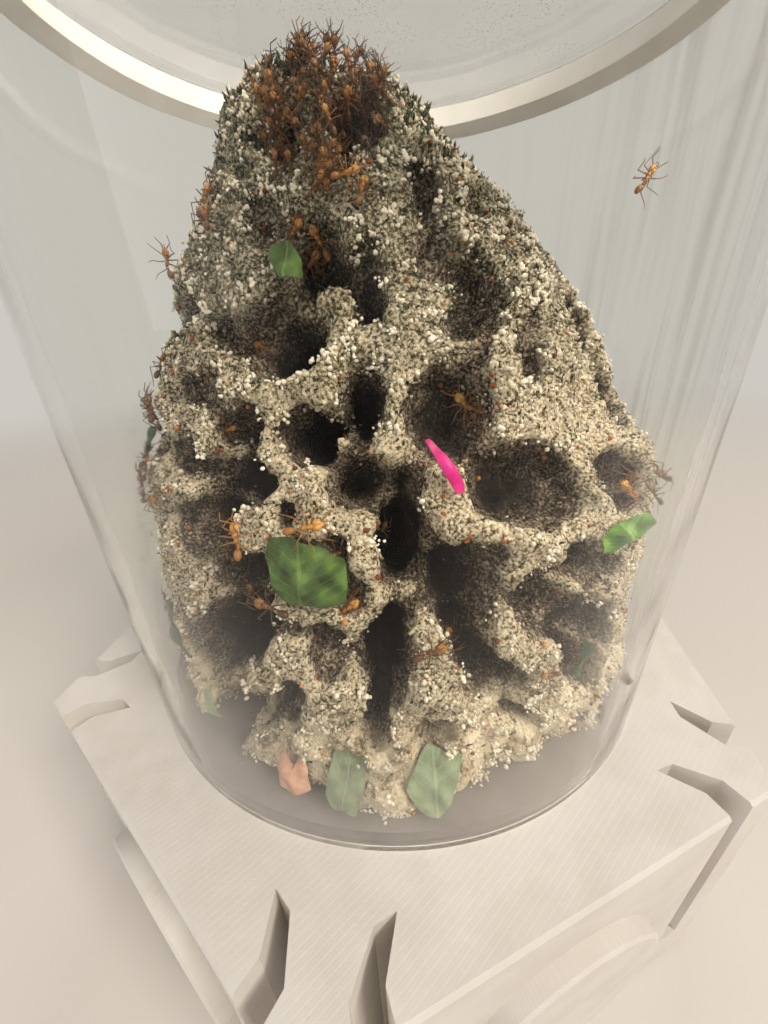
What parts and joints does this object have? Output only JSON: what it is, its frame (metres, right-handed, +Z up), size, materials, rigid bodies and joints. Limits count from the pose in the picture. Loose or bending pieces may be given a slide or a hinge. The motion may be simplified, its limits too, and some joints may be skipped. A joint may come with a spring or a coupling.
{
  "type": "ant habitat",
  "caption": "Clear round fungus chamber with a windowed lid on a tall hexagonal tile with dovetail corners and plugged side ports.",
  "frame": {"origin": "centre of the tile's underside", "axes": "+Z up along the chamber's axis; two of the tile's six corners lie on the X axis, so +Y points out of a side face"},
  "size_m": [0.1386, 0.1248, 0.1572],
  "materials": {
    "printed_tile": "matte",
    "printed_white": "satin",
    "clear_acrylic": "gloss",
    "fungus": "matte",
    "leaf": "satin",
    "petal": "satin",
    "dry_leaf": "matte",
    "ant": "satin"
  },
  "bodies": {
    "tile": {"base_tile": "printed_tile"},
    "plug_1": {"port_plug_1": "printed_white"},
    "plug_2": {"port_plug_2": "printed_white"},
    "plug_3": {"port_plug_3": "printed_white"},
    "plug_4": {"port_plug_4": "printed_white"},
    "plug_5": {"port_plug_5": "printed_white"},
    "plug_6": {"port_plug_6": "printed_white"},
    "chamber": {"chamber_tube": "clear_acrylic", "chamber_floor": "clear_acrylic", "passage_bush": "printed_white", "fungus_garden": "fungus", "leaf_piece_1": "leaf", "leaf_piece_2": "leaf", "leaf_piece_3": "leaf", "leaf_piece_4": "leaf", "leaf_piece_5": "leaf", "leaf_piece_6": "leaf", "leaf_piece_7": "leaf", "leaf_piece_8": "leaf", "leaf_piece_9": "leaf", "petal_piece": "petal", "dry_leaf_piece": "dry_leaf", "worker_ants": "ant"},
    "lid": {"lid_ring": "printed_white", "lid_window": "clear_acrylic"}
  },
  "joints": [
    {"name": "chamber_lift", "type": "slide", "parent": "tile", "child": "chamber", "axis": [0, 0, 1], "range_m": [0, 0.03]},
    {"name": "lid_lift", "type": "slide", "parent": "chamber", "child": "lid", "axis": [0, 0, 1], "range_m": [0, 0.03]},
    {"name": "plug_pull_1", "type": "slide", "parent": "tile", "child": "plug_1", "axis": [0.866, 0.5, 0], "range_m": [0, 0.02]},
    {"name": "plug_pull_2", "type": "slide", "parent": "tile", "child": "plug_2", "axis": [0, 1, 0], "range_m": [0, 0.02]},
    {"name": "plug_pull_3", "type": "slide", "parent": "tile", "child": "plug_3", "axis": [-0.866, 0.5, 0], "range_m": [0, 0.02]},
    {"name": "plug_pull_4", "type": "slide", "parent": "tile", "child": "plug_4", "axis": [-0.866, -0.5, 0], "range_m": [0, 0.02]},
    {"name": "plug_pull_5", "type": "slide", "parent": "tile", "child": "plug_5", "axis": [0, -1, 0], "range_m": [0, 0.02]},
    {"name": "plug_pull_6", "type": "slide", "parent": "tile", "child": "plug_6", "axis": [0.866, -0.5, 0], "range_m": [0, 0.02]}
  ]
}
